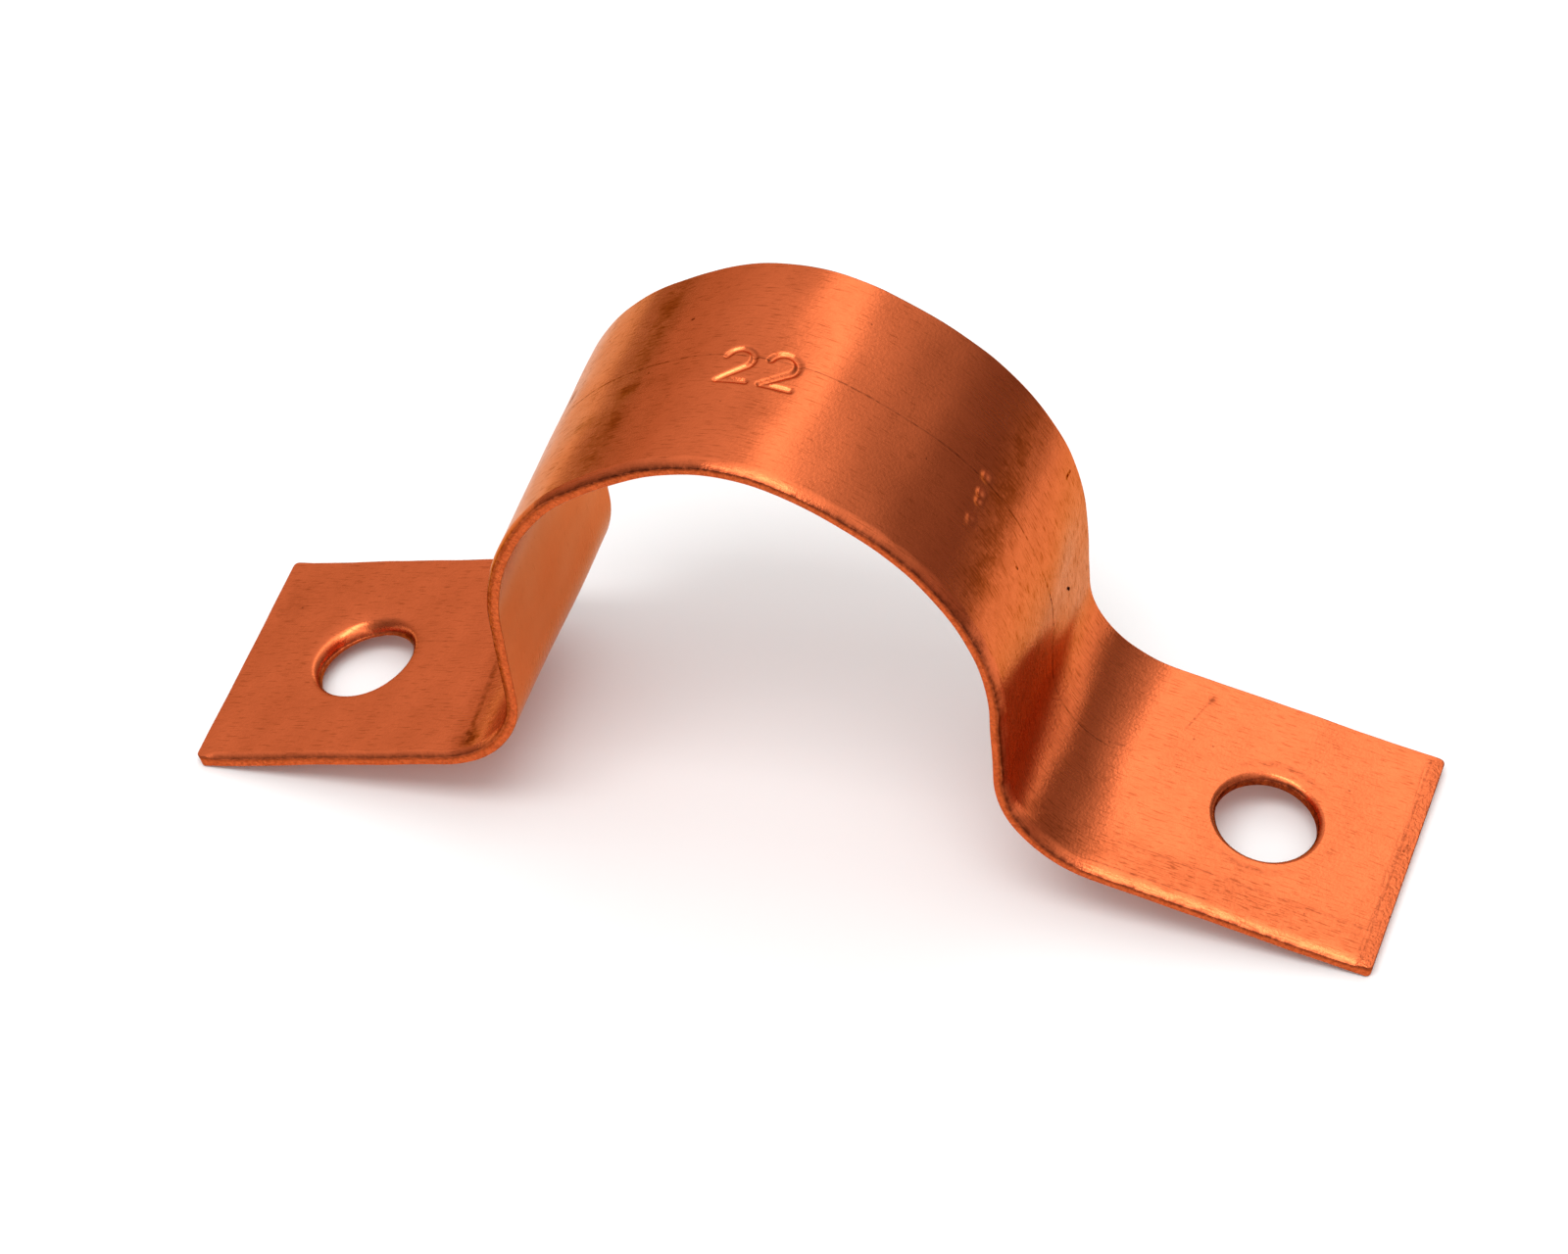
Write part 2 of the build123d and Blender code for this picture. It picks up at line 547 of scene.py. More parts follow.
def spaced(stops, steps):
    """Places from the first stop to the last, evenly apart in each gap and by its step at most."""
    places = [np.array(stops[:1])]
    for start, end, step in zip(stops, stops[1:], steps):
        places.append(np.linspace(start, end, math.ceil((end - start) / step) + 1)[1:])
    return np.concatenate(places)


def edge_roll(run, across):
    """The roll at points of the outline: a side's own, easing to the end's, and a little uneven."""
    broad = smooth_step(*FADED_RUNS, run)[..., None]
    near = FADED_ROLL + broad * (NEAR_ROLL - FADED_ROLL)
    side = np.where(across[..., None] < 0, near, FAR_ROLL)
    straight = smooth_step(*END_EASE, FOOT_END - np.abs(run))[..., None]
    roll = END_ROLL + straight * (side - END_ROLL)
    roll[..., 0] *= 1 + ROLL_WAVE * uneven(run, across, ROLL_WAVELENGTH, ROLL_SEED)
    return roll


def rim(roll):
    """Section of a cut edge for each roll, from the outer face to the inner one.

    It gives the inset from the cut, the height, how far each point belongs to the cut and how
    much grime and painted shade it holds, which is most where the roll turns into the cut: the
    painted shade makes a dark line there and dims the outer part of the roll's highlight. On the
    roll the slope grows evenly to its full value while the way out grows as a power of it, and the
    height falls by the tangent of the slope, summed along the way. The straight cut and the small
    break of the inner edge follow.
    """
    rolled = np.linspace(0, 1, ROLL_STEPS)
    reach, slope, haste = roll[..., :1], roll[..., 1:2], roll[..., 2:]
    out = reach * rolled**haste
    fall = np.tan(slope * rolled)
    falls = np.diff(out) * (fall[..., 1:] + fall[..., :-1]) / 2
    roll_height = HALF_SHEET - np.concatenate([0 * reach, np.cumsum(falls, -1)], -1)
    cut_top = roll_height[..., -1:]
    cut_foot = BURR_BREAK - HALF_SHEET
    part = np.linspace(0, 1, CUT_STEPS)[1:]
    inset = np.concatenate([reach - out, 0 * reach * part, 0 * reach + BURR_BREAK], -1)
    cut_height = cut_top + (cut_foot - cut_top) * part
    height = np.concatenate([roll_height, cut_height, 0 * reach - HALF_SHEET], -1)
    roll_belongs = ROLL_BELONGS * rolled**ROLL_BELONGS_POWER
    belongs = np.concatenate([roll_belongs, np.ones(CUT_STEPS - 1), [BURR_BELONGS]])
    cut_grime = [CUT_GRIME_AND_SHADE, *np.zeros(CUT_STEPS - 2), BURR_GRIME_AND_SHADE]
    grime_and_shade = np.concatenate([rolled**ROLL_GRIME_AND_SHADE_POWER, cut_grime])
    looks = [np.broadcast_to(look, inset.shape) for look in (belongs, grime_and_shade)]
    return inset, height, *looks


def column_parts():
    """Places of the columns across a face, from 0 at one rim to 1 at the other."""
    half = STRIP_WIDTH / 2
    high = DIGIT_FOOT + DIGIT_HEIGHT + STAMP_MARGIN
    stops = [-half, -half + RIM_STEP, KNOCKED_ACROSS, high, half - RIM_STEP, half]
    steps = [RIM_STEP, WIDE_STEP, FINE_STEP, WIDE_STEP, RIM_STEP]
    return (spaced(stops, steps) + half) / STRIP_WIDTH


def strip_grid():
    """The strip between the feet: a closed section carried along the run.

    The section goes across the outer face, down one rim, back across the inner face and up
    the other rim, so the first axis of the grid closes on itself.
    """
    stamp_start = DIGIT_RUNS[0] - STAMP_MARGIN
    stamp_end = DIGIT_RUNS[-1] + DIGIT_WIDTH + STAMP_MARGIN
    stops = [-FOOT_START, stamp_start, stamp_end, *KNOCKED_RUN, FOOT_START]
    rows = spaced(stops, [PLAIN_STEP, FINE_STEP, PLAIN_STEP, FINE_STEP, PLAIN_STEP])
    half = np.full(rows.shape, STRIP_WIDTH / 2)
    near_inset, near_height, *near_looks = rim(edge_roll(rows, -half))
    far_inset, far_height, *far_looks = rim(edge_roll(rows, half))
    near = near_inset - STRIP_WIDTH / 2
    far = STRIP_WIDTH / 2 - far_inset
    part = column_parts()
    outer = near[:, :1] + (far[:, :1] - near[:, :1]) * part
    inner = far[:, -1:] + (near[:, -1:] - far[:, -1:]) * (1 - part[::-1])
    across = [outer, far[:, 1:], inner[:, 1:], near[:, -2:0:-1]]
    level = np.full(outer.shape, HALF_SHEET)
    height = [level, far_height[:, 1:], -level[:, 1:], near_height[:, -2:0:-1]]
    bare = np.zeros(outer.shape)
    looks = [
        np.concatenate([bare, far_look[:, 1:], bare[:, 1:], near_look[:, -2:0:-1]], 1).T
        for near_look, far_look in zip(near_looks, far_looks)
    ]
    across = np.concatenate(across, 1).T
    run = np.broadcast_to(rows, across.shape)
    return run, across, np.concatenate(height, 1).T, *looks, True


def foot_outline():
    """Free edge of a foot, from the fold along the far side, round the end and back.

    It gives run and across on the cut itself, and the outward heading there, which turns
    through a quarter circle at each corner.
    """
    half = STRIP_WIDTH / 2
    side = spaced([FOOT_START, FOOT_END - CORNER_RADIUS], [PLAIN_STEP])
    end = spaced([CORNER_RADIUS - half, half - CORNER_RADIUS], [PLAIN_STEP])[1:-1][::-1]
    turn = np.linspace(0, np.pi / 2, CORNER_STEPS)[1:-1]
    lift = CORNER_RADIUS * np.cos(turn)
    reach = CORNER_RADIUS * np.sin(turn)
    corner_run = FOOT_END - CORNER_RADIUS
    corner_across = half - CORNER_RADIUS
    ends = np.array([corner_across])
    across_half = [np.full(side.shape, half), corner_across + lift, ends]
    run_half = [side, corner_run + reach, np.array([FOOT_END])]
    out_run = [np.zeros(side.shape), np.sin(turn), np.ones(1)]
    out_across = [np.ones(side.shape), np.cos(turn), np.zeros(1)]
    run_half, across_half = np.concatenate(run_half), np.concatenate(across_half)
    out_run, out_across = np.concatenate(out_run), np.concatenate(out_across)
    run = np.concatenate([run_half, np.full(end.shape, FOOT_END), run_half[::-1]])
    across = np.concatenate([across_half, end, -across_half[::-1]])
    out_run = np.concatenate([out_run, np.ones(end.shape), out_run[::-1]])
    out_across = np.concatenate([out_across, np.zeros(end.shape), -out_across[::-1]])
    return run, across, out_run, out_across


def ring_parts(count):
    """Places from 0 to 1 that crowd towards both ends: half of one less the cosine."""
    return (1 - np.cos(np.linspace(0, np.pi, count))) / 2


def hole_centre(side):
    """Run and across of a hole's middle, as punched."""
    _, inset_off, shift_off = PUNCHED_OFF[side]
    return np.array([FOOT_END - HOLE_INSET - inset_off, HOLE_SHIFT + shift_off])


def foot_grids(side):
    """The four grids of one foot: outer face, inner face, free edge and hole wall.

    A face is drawn between the hole's circle and the foot's outline: each ray runs straight
    from the circle to its own point of the outline, and the last rays end on the fold.
    """
    run, across, out_run, out_across = foot_outline()
    inset, height, belongs, grime_and_shade = rim(edge_roll(side * run, across))
    edge_run = run[:, None] - inset * out_run[:, None]
    edge_across = across[:, None] - inset * out_across[:, None]
    part = column_parts()[1:-1]
    fold_run = np.full(part.shape, FOOT_START)
    centre = hole_centre(side)
    outlines = []
    for column in (0, -1):
        near, far = edge_across[-1, column], edge_across[0, column]
        fold_line = np.stack([fold_run, near + (far - near) * part], -1)
        free_line = np.stack([edge_run[:, column], edge_across[:, column]], -1)
        outlines.append(np.concatenate([free_line, fold_line]))
    heading = outlines[0] - centre
    heading /= np.linalg.norm(heading, axis=-1, keepdims=True)

    roll = np.tile(PUNCHED_ROLL[side], (len(heading), 1))
    roll[:, 0] *= 1 + heading @ PUNCH_LEAN[side]
    wall_inset, wall_height, wall_belongs, wall_grime_and_shade = rim(roll)
    # Soil with painted shade on the hole's wall and the late part of its roll
    soil_and_shade = HOLE_SOIL_AND_SHADE[side] * np.maximum(np.sqrt(wall_grime_and_shade), wall_belongs)
    wall_grime_and_shade = np.maximum(wall_grime_and_shade, soil_and_shade)
    radius = HOLE_RADIUS + PUNCHED_OFF[side][0] + wall_inset
    wall = centre + radius[..., None] * heading[:, None]
    grids = [(edge_run, edge_across, height, belongs, grime_and_shade, False)]
    grids.append((wall[..., 0], wall[..., 1], wall_height, wall_belongs, wall_grime_and_shade, True))
    faces = ((0, OUTER_RINGS, HALF_SHEET), (-1, INNER_RINGS, -HALF_SHEET))
    for (column, count, level), outline in zip(faces, outlines):
        circle = wall[:, column]
        face = circle[:, None] + (outline - circle)[:, None] * ring_parts(count)[:, None]
        bare = np.zeros(face.shape[:2])
        grids.append((face[..., 0], face[..., 1], bare + level, bare, bare, True))
    return [(side * grid[0], *grid[1:]) for grid in grids]


def grid_quads(shape, closed):
    """Corners of the four-sided faces between neighbours of a grid."""
    index = np.arange(shape[0] * shape[1]).reshape(shape)
    if closed:
        index = np.concatenate([index, index[:1]])
    corners = [index[:-1, :-1], index[1:, :-1], index[1:, 1:], index[:-1, 1:]]
    return np.stack(corners, -1).reshape(-1, 4)


def clip_mesh():
    """The whole clip as one closed mesh: the strip and both feet, welded where they meet.

    Each point keeps its place on the flat blank, and what it holds of cut, of grime and stain, and
    of the painted shade that comes with both, for the material.
    """
    grids = [strip_grid()] + foot_grids(-1) + foot_grids(1)
    counts = [grid[0].size for grid in grids]
    offsets = np.cumsum(counts) - counts
    quads = [grid_quads(grid[0].shape, grid[-1]) + offset for grid, offset in zip(grids, offsets)]
    quads = np.concatenate(quads)
    run, across, height, cut, grime_and_shade = [
        np.concatenate([np.ravel(grid[i]) for grid in grids]) for i in range(5)
    ]
    points = fold(run, across, worn(run, across, height)) * MM
    sheared = smooth_step(SHEAR_BORDER, -SHEAR_BORDER, FOOT_END - run - shear_reach(across))
    cut = np.maximum(cut, SHEAR_BELONGS * sheared * (height > 0))
    # Stains and painted shade on the outer face
    soiled_and_shaded = stains_and_shade(run, across) * (height > 0)
    # Extra painted shade on the cuts of the +X half
    grime_and_shade = grime_and_shade * (1 + EXTRA_PAINTED_SHADE * smooth_step(*FADED_RUNS, run))

    mesh = bpy.data.meshes.new("copper_strap")
    mesh.vertices.add(len(points))
    mesh.vertices.foreach_set("co", points.ravel())
    mesh.loops.add(quads.size)
    mesh.loops.foreach_set("vertex_index", quads.ravel())
    mesh.polygons.add(len(quads))
    mesh.polygons.foreach_set("loop_start", np.arange(0, quads.size, 4))
    mesh.update(calc_edges=True)
    blank = mesh.attributes.new("blank", "FLOAT_VECTOR", "POINT")
    blank.data.foreach_set("vector", np.stack([run, across, height], -1).ravel())
    looks = {"cut": cut, "grime_and_shade": grime_and_shade, "stain_and_shade": soiled_and_shaded, "bent": bent(run)}
    for name, values in looks.items():
        mesh.attributes.new(name, "FLOAT", "POINT").data.foreach_set("value", values)

    sheet = bmesh.new()
    sheet.from_mesh(mesh)
    bmesh.ops.remove_doubles(sheet, verts=sheet.verts, dist=WELD_DISTANCE * MM)
    bmesh.ops.recalc_face_normals(sheet, faces=sheet.faces)
    sheet.to_mesh(mesh)
    sheet.free()
    mesh.polygons.foreach_set("use_smooth", np.ones(len(mesh.polygons), bool))
    mesh.set_sharp_from_angle(angle=SHARP_TURN)

    # A map of the flat blank, so that brushed highlights stretch across the strip
    places = np.empty(len(mesh.vertices) * 3)
    mesh.attributes["blank"].data.foreach_get("vector", places)
    corners = np.empty(len(mesh.loops), int)
    mesh.loops.foreach_get("vertex_index", corners)
    places = places.reshape(-1, 3)[corners]
    flat = np.stack([places[:, 1] + places[:, 2], places[:, 0]], -1)
    mesh.uv_layers.new(name="sheet").data.foreach_set("uv", flat.ravel() / STRIP_WIDTH)
    return mesh


def linear(hex_colour):
    """Linear colour of an sRGB hex value."""
    parts = np.array([int(hex_colour[i : i + 2], 16) for i in (1, 3, 5)]) / 255
    parts = np.where(parts <= 0.04045, parts / 12.92, ((parts + 0.055) / 1.055) ** 2.4)
    return (*parts, 1.0)


def add_node(tree, kind, inputs=None, output=0, **settings):
    """Adds a node with its settings and inputs, and gives one output, or the node for None."""
    node = tree.nodes.new(kind)
    for name, value in settings.items():
        setattr(node, name, value)
    for name, value in (inputs or {}).items():
        if isinstance(value, bpy.types.NodeSocket):
            tree.links.new(value, node.inputs[name])
        else:
            node.inputs[name].default_value = value
    return node if output is None else node.outputs[output]


def maths(tree, operation, *values):
    """Works out one number from others, in their order."""
    return add_node(tree, "ShaderNodeMath", dict(enumerate(values)), operation=operation)


def vector_maths(tree, operation, *values, output=0):
    """Works out a vector from others, in their order, or a number with the output Value."""
    inputs = dict(enumerate(values))
    return add_node(tree, "ShaderNodeVectorMath", inputs, output, operation=operation)


def noise(tree, place, size, detail, roughness=0.5):
    """Soft noise with spots of about one size."""
    look = {"Vector": place, "Scale": 1 / size, "Detail": detail, "Roughness": roughness}
    return add_node(tree, "ShaderNodeTexNoise", look)


def ramp(tree, value, start, end, low=0.0, high=1.0, shape="SMOOTHSTEP"):
    """A number that goes from low to high as another goes from start to end."""
    levels = {"Value": value, "From Min": start, "From Max": end, "To Min": low, "To Max": high}
    return add_node(tree, "ShaderNodeMapRange", levels, interpolation_type=shape)


def blend(tree, share, first, second):
    """Two colours mixed by the second one's share."""
    return add_node(tree, "ShaderNodeMix", {0: share, 6: first, 7: second}, 2, data_type="RGBA")


def empty_material(name):
    """A new material without nodes, and its tree."""
    material = bpy.data.materials.new(name)
    material.use_nodes = True
    material.node_tree.nodes.clear()
    return material, material.node_tree


def stretched(tree, blank, length, width):
    """Place on the flat blank, counted in a mark's length along the strip and its width across."""
    return vector_maths(tree, "MULTIPLY", blank, (1 / length, 1 / width, 1 / width))


def brown_oxide_and_shade(tree, blank, grain, stain_and_shade, bending):
    """Share of brown oxide and painted shade: mottling, heavier in the stains and the painted
    shade, and dashes left by rolling.

    The dashes are thicker where the sheet is stained, in painted shade, or was worked.
    """
    mottle = noise(tree, blank, MOTTLE_SIZE, detail=6.0, roughness=0.78)
    mottle = ramp(tree, mottle, *MOTTLE_RANGE, shape="LINEAR")
    stained_and_shaded = maths(tree, "MULTIPLY_ADD", mottle, STAIN_AND_SHADE_MOTTLE, STAIN_AND_SHADE_BASE)
    stained_and_shaded = maths(tree, "ADD", stained_and_shaded, grain)
    stained_and_shaded = maths(tree, "MULTIPLY", stained_and_shaded, stain_and_shade)
    patches = maths(tree, "MULTIPLY_ADD", mottle, CLEAN_MOTTLE, stained_and_shaded)
    dash = noise(tree, stretched(tree, blank, DASH_LENGTH, DASH_WIDTH), 1.0, detail=2.0)
    dash = maths(tree, "MULTIPLY_ADD", stain_and_shade, STAINED_AND_SHADED_DASHES, dash)
    dash = maths(tree, "MULTIPLY_ADD", bending, WORKED_DASHES, dash)
    dash = ramp(tree, dash, *DASH_RANGE, high=DASH_OXIDE)
    return add_node(tree, "ShaderNodeMath", {0: patches, 1: dash}, operation="ADD", use_clamp=True)


def dark_pits(tree, blank):
    """Strength of the pits: the middles of a few cells of a random pattern."""
    cell = {"Vector": blank, "Scale": 1 / PIT_SPACING}
    cells = add_node(tree, "ShaderNodeTexVoronoi", cell, None).outputs
    pit = ramp(tree, cells["Distance"], *PIT_EDGE, high=PIT_STRENGTH)
    chance = add_node(tree, "ShaderNodeSeparateXYZ", {0: cells["Color"]})
    return maths(tree, "MULTIPLY", pit, maths(tree, "GREATER_THAN", chance, 1 - PIT_CHANCE))


def drawn_line(tree, place):
    """Strength of the drawn line, whose place across follows a curve from 0 to 1 over its run."""
    first, last = DRAWN_LINE[0][0], DRAWN_LINE[-1][0]
    way = ramp(tree, place["X"], first, last, shape="LINEAR")
    curve = add_node(tree, "ShaderNodeFloatCurve", {"Value": way}, None)
    points = curve.mapping.curves[0].points
    points[0].location = (0, DRAWN_LINE[0][1])
    points[1].location = (1, DRAWN_LINE[-1][1])
    for run, across in DRAWN_LINE[1:-1]:
        points.new((run - first) / (last - first), across)
    curve.mapping.update()
    gap = maths(tree, "SUBTRACT", place["Y"], curve.outputs[0])
    line = ramp(tree, maths(tree, "ABSOLUTE", gap), *DRAWN_EDGE, high=DRAWN_STRENGTH)
    within = maths(tree, "COMPARE", place["X"], (first + last) / 2, (last - first) / 2)
    return maths(tree, "MULTIPLY", line, within)


def stripper_ring(tree, blank, place):
    """Strength of the ring, by the distance from the hole's middle. It shows at two sides only."""
    middle = (*hole_centre(1), HALF_SHEET)
    aside = maths(tree, "SUBTRACT", place["Y"], middle[1])
    shown = ramp(tree, maths(tree, "ABSOLUTE", aside), *RING_SIDES, shape="LINEAR")
    away = vector_maths(tree, "DISTANCE", blank, middle, output="Value")
    off = maths(tree, "ABSOLUTE", maths(tree, "SUBTRACT", away, RING_RADIUS))
    ring = ramp(tree, off, RING_HALF_WIDTH, 0.0, high=RING_STRENGTH)
    return maths(tree, "MULTIPLY", ring, shown)


def scratch_and_shade_line(tree, blank, start, end, half_width, strength):
    """Strength of a scratch, a speck or a dark line of painted shade: what lies within its half
    width of a short straight line.

    It is strongest within a quarter of that.
    """
    start, end = Vector((*start, HALF_SHEET)), Vector((*end, HALF_SHEET))
    along = end - start
    offset = vector_maths(tree, "SUBTRACT", blank, start)
    part = along / along.length_squared
    part = vector_maths(tree, "DOT_PRODUCT", offset, part, output="Value")
    part = add_node(tree, "ShaderNodeClamp", {"Value": part})
    nearest = {0: along, "Scale": part}
    nearest = add_node(tree, "ShaderNodeVectorMath", nearest, operation="SCALE")
    away = vector_maths(tree, "DISTANCE", offset, nearest, output="Value")
    return ramp(tree, away, half_width, half_width / 4, high=strength)


def rolled_copper():
    """Bare copper sheet, cold rolled, blanked and folded, and handled since.

    Rolling leaves fine lines along the strip, so highlights smear across it. Bending raises a
    faint grain. Handling leaves brown patches, dark pits and a few scratches, and the tools
    leave one long drawn line. The cuts are grainier and redder than the faces. Painted shade
    darkens some patches and lines, the borders of the cuts and the hole walls, and dims the crown's
    highlight.
    """
    material, tree = empty_material("bare_rolled_copper")
    blank = add_node(tree, "ShaderNodeAttribute", output="Vector", attribute_name="blank")
    cut, grime_and_shade, stain_and_shade, bending = [
        add_node(tree, "ShaderNodeAttribute", output="Fac", attribute_name=name)
        for name in ("cut", "grime_and_shade", "stain_and_shade", "bent")
    ]
    place = add_node(tree, "ShaderNodeSeparateXYZ", {0: blank}, None).outputs
    outer = maths(tree, "GREATER_THAN", place["Z"], 0.0)

    # Rolling lines, the grain of the sheet and the coarser tear of the cuts
    line_place = stretched(tree, blank, LINE_LENGTH, LINE_WIDTH)
    lines = noise(tree, line_place, 1.0, detail=3.0, roughness=0.65)
    grain = noise(tree, blank, GRAIN_SIZE, detail=2.0, roughness=0.6)
    tear = noise(tree, blank, TEAR_SIZE, detail=3.0, roughness=0.6)

    # The inner face was handled less, and stayed cleaner
    oxide_and_shade = brown_oxide_and_shade(tree, blank, grain, stain_and_shade, bending)
    handled = maths(tree, "MULTIPLY_ADD", outer, 1 - INNER_OXIDE, INNER_OXIDE)
    oxide_and_shade = maths(tree, "MULTIPLY", oxide_and_shade, handled)

    # Lines, scratches and lines of painted shade are broken up by gaps, and they and the pits are
    # on the outer face only
    broken = ramp(tree, noise(tree, blank, GAP_SIZE, detail=3.0), *GAP_RANGE, low=GAP_LEFT)
    lined = maths(tree, "MAXIMUM", drawn_line(tree, place), stripper_ring(tree, blank, place))
    for row in SCRATCHES_AND_SHADE_LINES:
        lined = maths(tree, "MAXIMUM", lined, scratch_and_shade_line(tree, blank, *row))
    lined = maths(tree, "MULTIPLY", lined, broken)
    marks = maths(tree, "MAXIMUM", dark_pits(tree, blank), lined)
    marks = maths(tree, "MULTIPLY", marks, outer)

    # Grime and painted shade along the borders of the cuts and on soiled ones, a little patchy
    patchy = maths(tree, "MULTIPLY_ADD", broken, GRIME_AND_SHADE_PATCHES, GRIME_AND_SHADE_BASE)
    marks = maths(tree, "MAXIMUM", marks, maths(tree, "MULTIPLY", grime_and_shade, patchy))

    # Copper browns with oxide and painted shade, is redder where torn, and is dark with dirt and
    # painted shade in the marks
    dirt_and_shade = linear(DIRT_AND_SHADE)
    colour = blend(tree, oxide_and_shade, linear(CLEAN_COPPER), linear(OXIDE_AND_SHADE))
    torn = ramp(tree, tear, *TEAR_RANGE, shape="LINEAR")
    torn = blend(tree, torn, linear(TORN_LOW), linear(TORN_HIGH))
    colour = blend(tree, maths(tree, "MULTIPLY", cut, cut), colour, torn)
    colour = blend(tree, marks, colour, dirt_and_shade)

    # Seen flat along, clean copper pales, and copper that is stained, dirty or in painted shade
    # pales less
    soiled_and_shaded = maths(tree, "MAXIMUM", maths(tree, "MULTIPLY", oxide_and_shade, PALED_OXIDE_AND_SHADE), marks)
    pale = blend(tree, soiled_and_shaded, linear(PALE_COPPER), dirt_and_shade)

    # A satin face, duller where stained or in painted shade, in the folds and on the cuts
    rough = ramp(tree, lines, 0.0, 1.0, *SATIN, shape="LINEAR")
    rough = maths(tree, "MULTIPLY_ADD", oxide_and_shade, OXIDE_AND_SHADE_ROUGHNESS, rough)
    rough = maths(tree, "MULTIPLY_ADD", bending, FOLD_ROUGHNESS, rough)
    rough = maths(tree, "MULTIPLY_ADD", cut, CUT_ROUGHNESS, rough)

    relief = maths(tree, "MULTIPLY", lines, LINE_DEPTH)
    grain_depth = maths(tree, "MULTIPLY_ADD", bending, FOLD_GRAIN_DEPTH, GRAIN_DEPTH)
    relief = maths(tree, "MULTIPLY_ADD", grain, grain_depth, relief)
    tear = maths(tree, "MULTIPLY", tear, cut)
    relief = maths(tree, "MULTIPLY_ADD", tear, TEAR_DEPTH, relief)
    relief = maths(tree, "MULTIPLY_ADD", marks, -MARK_DEPTH, relief)
    bump = {"Height": relief, "Distance": MICROMETRE, "Strength": 1.0}

    finish = {
        "Base Color": colour,
        "Metallic": 1.0,
        "Roughness": rough,
        "Specular Tint": pale,
        "Anisotropic": SMEAR,
        "Normal": add_node(tree, "ShaderNodeBump", bump),
        "Tangent": add_node(tree, "ShaderNodeTangent", direction_type="UV_MAP", uv_map="sheet"),
    }
    shader = add_node(tree, "ShaderNodeBsdfPrincipled", finish)
    add_node(tree, "ShaderNodeOutputMaterial", {"Surface": shader}, None)
    return material


def paper_with_painted_falloff():
    """Matt white paper: dull, so that it shows the clip's soft shadow.

    Its colour fades with the distance from a point beside the clip, from white to a soft grey: a
    painted pool of light, with painted shade beyond it.
    """
    material, tree = empty_material("paper_painted_falloff")
    place = add_node(tree, "ShaderNodeTexCoord", output="Object")
    away = vector_maths(tree, "DISTANCE", place, Vector(PAINTED_POOL_MIDDLE) * MM, output="Value")
    painted_falloff = ramp(tree, away, PAINTED_POOL_REACH * MM, PAINTED_SHADE_REACH * MM)
    colour = blend(tree, painted_falloff, linear(PAPER_WHITE), linear(PAINTED_FLOOR_SHADE))
    shader = add_node(tree, "ShaderNodeBsdfDiffuse", {"Color": colour})
    add_node(tree, "ShaderNodeOutputMaterial", {"Surface": shader}, None)
    return material


def paper_floor():
    """A square sheet, just under the clip."""
    corners = FLOOR_REACH * np.array([(-1, -1, 0), (1, -1, 0), (1, 1, 0), (-1, 1, 0)])
    corners[:, 2] = -FLOOR_DROP
    mesh = bpy.data.meshes.new("paper_floor")
    mesh.from_pydata((corners * MM).tolist(), [], [(0, 1, 2, 3)])
    mesh.materials.append(paper_with_painted_falloff())
    floor = bpy.data.objects.new("paper_floor", mesh)
    bpy.context.scene.collection.objects.link(floor)


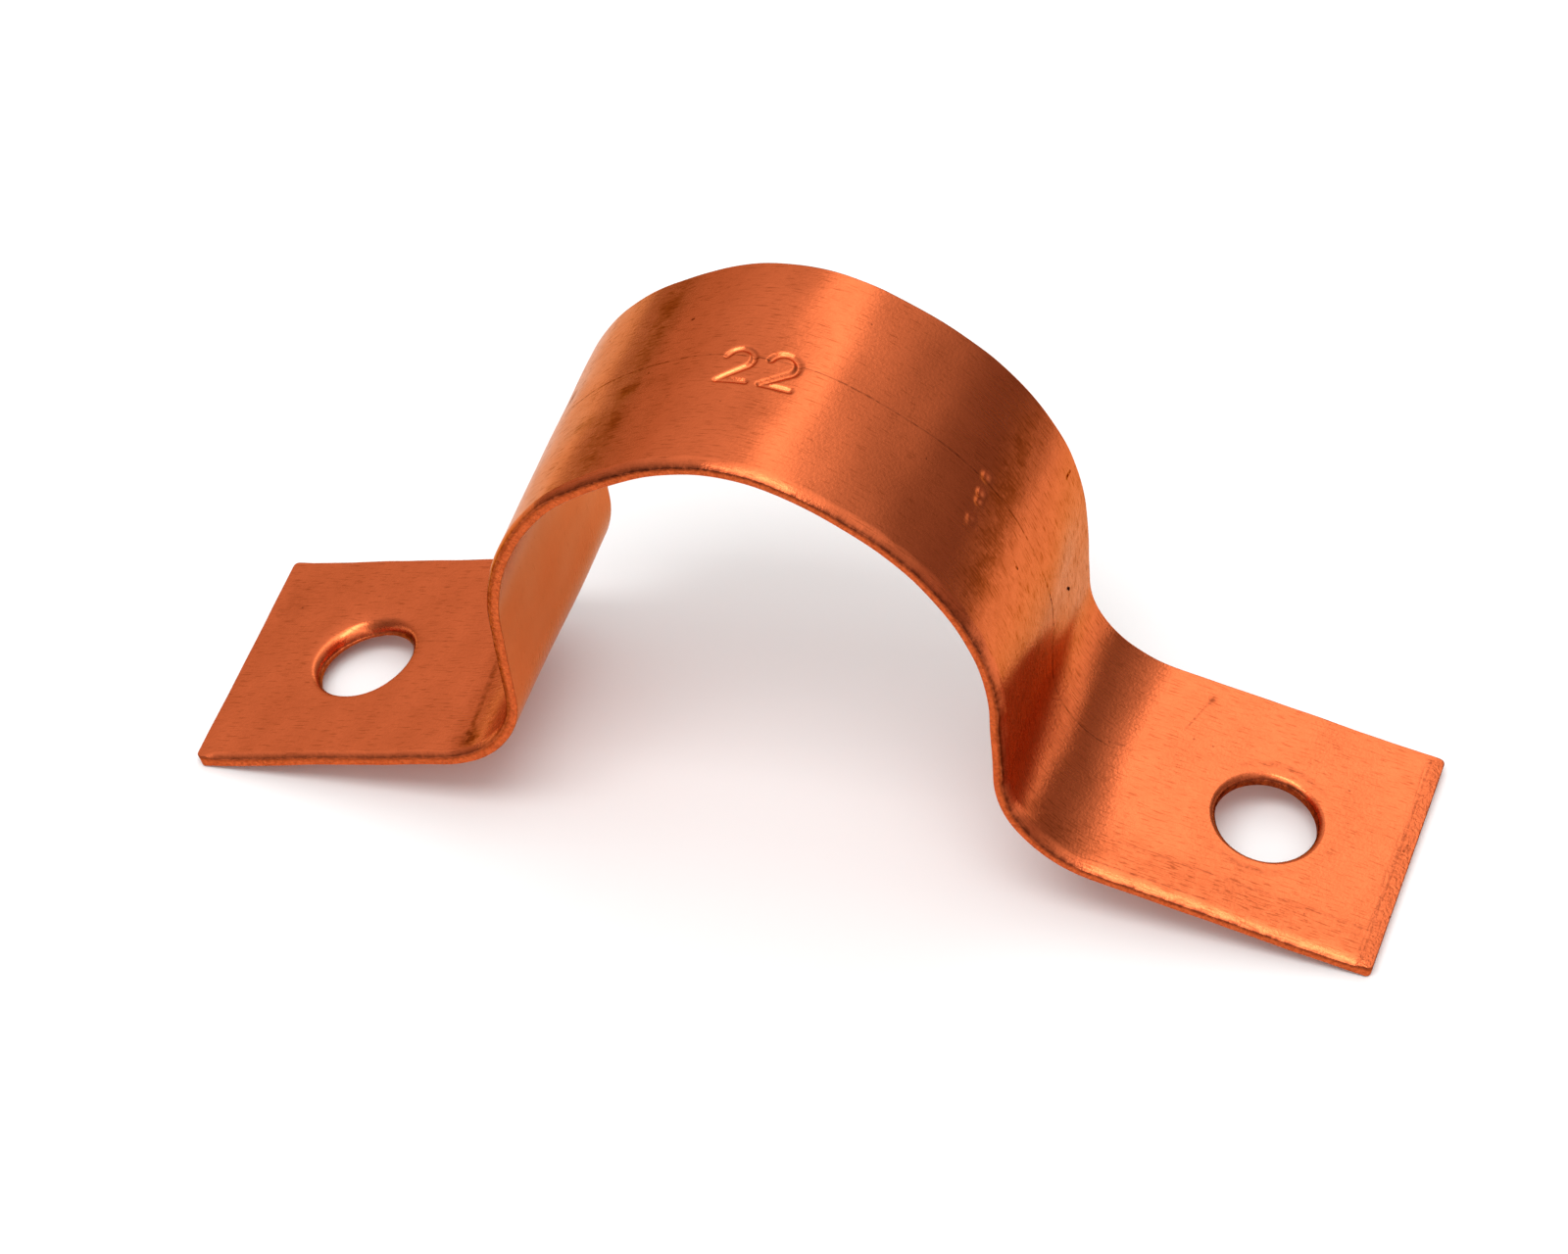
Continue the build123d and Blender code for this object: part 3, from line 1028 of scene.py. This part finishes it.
def room_light():
    """Soft light from all round: dim walls that brighten up to a pale ceiling with long lights.

    The walls' colour goes by the height of the direction, and the product of its X and Y makes
    them brighter behind on the -X side and in front on the +X side. Each long light is a bell of
    the direction's turn about Y.
    """
    world = bpy.data.worlds.new("soft_room")
    world.use_nodes = True
    tree = world.node_tree
    tree.nodes.clear()
    heading = add_node(tree, "ShaderNodeTexCoord", output="Generated")
    parts = add_node(tree, "ShaderNodeSeparateXYZ", {0: heading}, None).outputs
    height = ramp(tree, parts["Z"], -1.0, 1.0, shape="LINEAR")
    wall = add_node(tree, "ShaderNodeValToRGB", {"Fac": height}, None)
    elements = wall.color_ramp.elements
    for index, (level, colour) in enumerate(ROOM_COLOURS):
        element = elements[index] if index < len(elements) else elements.new(1.0)
        element.position = (level + 1) / 2
        element.color = linear(colour)
    side = maths(tree, "MULTIPLY", parts["X"], parts["Y"])
    side = maths(tree, "MULTIPLY_ADD", side, -ROOM_SLANT * ROOM_STRENGTH, ROOM_STRENGTH)
    walls = {"Color": wall.outputs["Color"], "Strength": side}
    light = add_node(tree, "ShaderNodeBackground", walls)

    turn = maths(tree, "ARCTAN2", parts["X"], parts["Z"])
    for middle, half_width, strength in STRIP_LIGHTS:
        off = maths(tree, "MULTIPLY_ADD", turn, 1 / half_width, -middle / half_width)
        bell = maths(tree, "POWER", math.exp(-1), maths(tree, "MULTIPLY", off, off))
        bell = maths(tree, "MULTIPLY", bell, strength)
        strip = {"Color": linear(STRIP_LIGHT_COLOUR), "Strength": bell}
        strip = add_node(tree, "ShaderNodeBackground", strip)
        light = add_node(tree, "ShaderNodeAddShader", {0: light, 1: strip})
    add_node(tree, "ShaderNodeOutputWorld", {"Surface": light}, None)
    bpy.context.scene.world = world


def front_box():
    """A flat lamp that faces the clip. Its power is brightness times pi times its area."""
    lamp = bpy.data.objects.new("front_box", bpy.data.lights.new("front_box", "AREA"))
    heading = Vector(BOX_HEADING).normalized()
    lamp.location = (heading * BOX_DISTANCE + Vector((0, 0, CROWN_TOP / 2))) * MM
    lamp.rotation_mode = "QUATERNION"
    lamp.rotation_quaternion = (-heading).to_track_quat("-Z", "Y")
    lamp.data.shape = "RECTANGLE"
    lamp.data.size = BOX_SIZE[0] * MM
    lamp.data.size_y = BOX_SIZE[1] * MM
    lamp.data.energy = BOX_BRIGHTNESS * math.pi * lamp.data.size * lamp.data.size_y
    bpy.context.scene.collection.objects.link(lamp)


def photo_camera():
    """The camera stands as the photograph's did: round, above, off and tilted by these amounts."""
    level = math.cos(VIEW_ELEVATION)
    out = math.sin(VIEW_AZIMUTH) * level
    front = -math.cos(VIEW_AZIMUTH) * level
    back = Vector((out, front, math.sin(VIEW_ELEVATION)))
    camera = bpy.data.objects.new("camera", bpy.data.cameras.new("camera"))
    camera.data.lens = LENS
    camera.data.sensor_width = SENSOR_WIDTH
    camera.data.clip_start = NEAREST_SEEN * MM
    camera.location = (Vector(VIEW_AIM) + VIEW_DISTANCE * back) * MM
    camera.rotation_mode = "QUATERNION"
    facing = (-back).to_track_quat("-Z", "Y")
    camera.rotation_quaternion = facing @ Quaternion((0, 0, 1), VIEW_ROLL)
    bpy.context.scene.collection.objects.link(camera)
    bpy.context.scene.camera = camera


strap = bpy.data.objects.new("copper_strap", clip_mesh())
strap.data.materials.append(rolled_copper())
bpy.context.scene.collection.objects.link(strap)
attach(strap, "root")
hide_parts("strap")

paper_floor()
room_light()
front_box()
photo_camera()
bpy.context.scene.view_settings.view_transform = "Standard"
